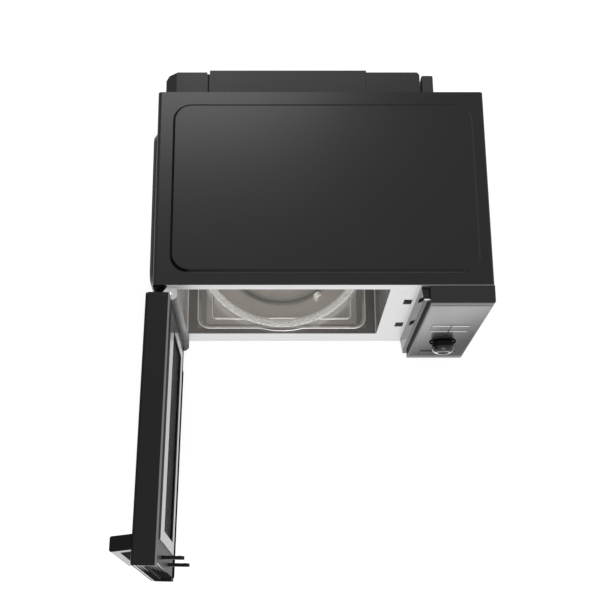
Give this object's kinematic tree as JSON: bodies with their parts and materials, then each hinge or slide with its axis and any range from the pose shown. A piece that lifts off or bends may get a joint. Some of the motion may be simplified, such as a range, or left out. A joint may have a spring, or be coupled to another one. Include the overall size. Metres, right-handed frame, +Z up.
{
  "type": "air fryer microwave oven",
  "caption": "Countertop microwave oven with hot-air convection and grill, side-hinged glazed door with bar handle, glass turntable and a dial control panel.",
  "frame": {"origin": "bottom centre of the oven's overall box as it stands, with the door open, on the worktop", "axes": "+X to the oven's right seen from the front, +Y from the front to the back, +Z up"},
  "size_m": [0.5697, 0.788, 0.3285],
  "materials": {
    "cover_paint": "fine satin paint",
    "rear_paint": "satin paint",
    "galvanised": "galvanised sheet",
    "screw_steel": "zinc plated",
    "hinge_steel": "polished",
    "foot_rubber": "matte",
    "spacer_plastic": "moulded",
    "front_steel": "bright satin",
    "cavity_steel": "satin",
    "mica": "pressed mica",
    "heater_steel": "oxidised",
    "motor_steel": "plated",
    "coupler_plastic": "moulded",
    "ring_plastic": "moulded",
    "roller_plastic": "moulded",
    "tray_glass": "clear",
    "fan_aluminium": "pressed",
    "fan_plastic": "moulded",
    "magnetron_metal": "as rolled",
    "transformer_iron": "varnished laminations",
    "lamp_body": "gloss",
    "switch_plastic": "moulded",
    "panel_plastic": "satin gloss",
    "trim_plastic": "gloss",
    "fascia_black": "dark metallic gloss",
    "display_black": "gloss",
    "board_green": "lacquered",
    "key_black": "dark metallic gloss",
    "knob_black": "satin",
    "rim_chrome": "polished",
    "door_black": "gloss",
    "door_glass": "black backed",
    "screen_steel": "black",
    "choke_plastic": "moulded",
    "pane_glass": "smoked",
    "handle_metal": "satin",
    "cap_black": "gloss",
    "bush_plastic": "moulded",
    "latch_plastic": "moulded",
    "spring_steel": "drawn wire"
  },
  "bodies": {
    "cabinet": {"outer_cover": "cover_paint", "base_plate": "galvanised", "rear_panel": "rear_paint", "cover_screws": "screw_steel", "feet": "foot_rubber", "convection_housing": "rear_paint", "wall_spacer": "spacer_plastic", "cord_gland": "spacer_plastic", "front_plate": "front_steel", "hinge_brackets": "hinge_steel", "hinge_pins": "screw_steel", "cavity_shell": "cavity_steel", "cavity_back": "cavity_steel", "cavity_floor": "cavity_steel", "waveguide_cover": "mica", "grill_heater": "heater_steel", "turntable_motor": "motor_steel", "fan_chamber": "galvanised", "convection_heater": "heater_steel", "convection_motor": "motor_steel", "waveguide": "galvanised", "magnetron": "magnetron_metal", "high_voltage_transformer": "transformer_iron", "high_voltage_capacitor": "magnetron_metal", "cooling_fan_shroud": "fan_plastic", "cooling_fan_motor": "motor_steel", "oven_lamp": "lamp_body", "thermal_cutout": "magnetron_metal", "interlock_bracket": "fan_plastic", "interlock_switches": "switch_plastic", "control_housing": "panel_plastic", "control_side_trim": "trim_plastic", "control_fascia": "fascia_black", "display_window": "display_black", "control_board": "board_green", "knob_bezel": "rim_chrome"},
    "door": {"door_frame": "door_black", "door_outer_panel": "door_glass", "door_inner_plate": "screen_steel", "door_choke_cover": "choke_plastic", "door_window_pane": "pane_glass", "door_handle": "handle_metal", "handle_caps": "cap_black", "hinge_bushes": "bush_plastic", "latch_spring": "spring_steel"},
    "latch": {"latch_hooks": "latch_plastic"},
    "turntable_drive": {"turntable_coupler": "coupler_plastic"},
    "tray": {"glass_turntable": "tray_glass"},
    "roller_carrier": {"roller_ring": "ring_plastic"},
    "first_roller": {"roller_1": "roller_plastic"},
    "second_roller": {"roller_2": "roller_plastic"},
    "third_roller": {"roller_3": "roller_plastic"},
    "convection_wheel": {"convection_fan": "fan_aluminium"},
    "cooling_wheel": {"cooling_fan_blade": "fan_plastic"},
    "dial": {"knob": "knob_black", "knob_rim": "rim_chrome"},
    "upper_left_button": {"upper_left_key": "key_black"},
    "upper_right_button": {"upper_right_key": "key_black"},
    "lower_left_button": {"lower_left_key": "key_black"},
    "lower_right_button": {"lower_right_key": "key_black"}
  },
  "joints": [
    {"name": "door_hinge", "type": "hinge", "parent": "cabinet", "child": "door", "pos_m": [-0.22132, 0.00565, 0.169], "axis": [0, 0, 1], "range_deg": [-14, 91.3]},
    {"name": "latch_lift", "type": "slide", "parent": "door", "child": "latch", "axis": [0, 0, 1], "range_m": [0, 0.006], "stiffness_N_per_m": 300, "deforming": ["latch_spring"]},
    {"name": "turntable_spin", "type": "hinge", "parent": "cabinet", "child": "turntable_drive", "pos_m": [-0.03533, 0.18265, 0.06], "axis": [0, 0, 1], "continuous": true},
    {"name": "tray_lift", "type": "slide", "parent": "turntable_drive", "child": "tray", "axis": [0, 0, 1], "range_m": [0, 0.06]},
    {"name": "roller_carrier_spin", "type": "hinge", "parent": "cabinet", "child": "roller_carrier", "pos_m": [-0.03533, 0.18265, 0.0598], "axis": [0, 0, 1], "continuous": true},
    {"name": "first_roller_spin", "type": "hinge", "parent": "roller_carrier", "child": "first_roller", "pos_m": [0.02765, 0.09271, 0.0598], "axis": [0.5736, -0.8192, 0], "continuous": true},
    {"name": "second_roller_spin", "type": "hinge", "parent": "roller_carrier", "child": "second_roller", "pos_m": [0.01108, 0.28216, 0.0598], "axis": [0.4226, 0.9063, 0], "continuous": true},
    {"name": "third_roller_spin", "type": "hinge", "parent": "roller_carrier", "child": "third_roller", "pos_m": [-0.14471, 0.17308, 0.0598], "axis": [-0.9962, -0.0872, 0], "continuous": true},
    {"name": "dial_turn", "type": "hinge", "parent": "cabinet", "child": "dial", "pos_m": [0.23492, -0.01335, 0.112], "axis": [0, 1, 0], "continuous": true},
    {"name": "convection_fan_spin", "type": "hinge", "parent": "cabinet", "child": "convection_wheel", "pos_m": [-0.03533, 0.36765, 0.1815], "axis": [0, 1, 0], "continuous": true},
    {"name": "cooling_fan_spin", "type": "hinge", "parent": "cabinet", "child": "cooling_wheel", "pos_m": [0.20667, 0.32065, 0.203], "axis": [0, 1, 0], "continuous": true},
    {"name": "upper_left_press", "type": "slide", "parent": "cabinet", "child": "upper_left_button", "axis": [0, 1, 0], "range_m": [0, 0.0008], "stiffness_N_per_m": 600},
    {"name": "upper_right_press", "type": "slide", "parent": "cabinet", "child": "upper_right_button", "axis": [0, 1, 0], "range_m": [0, 0.0008], "stiffness_N_per_m": 600},
    {"name": "lower_left_press", "type": "slide", "parent": "cabinet", "child": "lower_left_button", "axis": [0, 1, 0], "range_m": [0, 0.0008], "stiffness_N_per_m": 600},
    {"name": "lower_right_press", "type": "slide", "parent": "cabinet", "child": "lower_right_button", "axis": [0, 1, 0], "range_m": [0, 0.0008], "stiffness_N_per_m": 600}
  ],
  "couplings": [
    {"joint": "roller_carrier_spin", "follows": "turntable_spin", "ratio": 0.5},
    {"joint": "first_roller_spin", "follows": "turntable_spin", "ratio": -9.15},
    {"joint": "second_roller_spin", "follows": "turntable_spin", "ratio": -9.15},
    {"joint": "third_roller_spin", "follows": "turntable_spin", "ratio": -9.15}
  ]
}
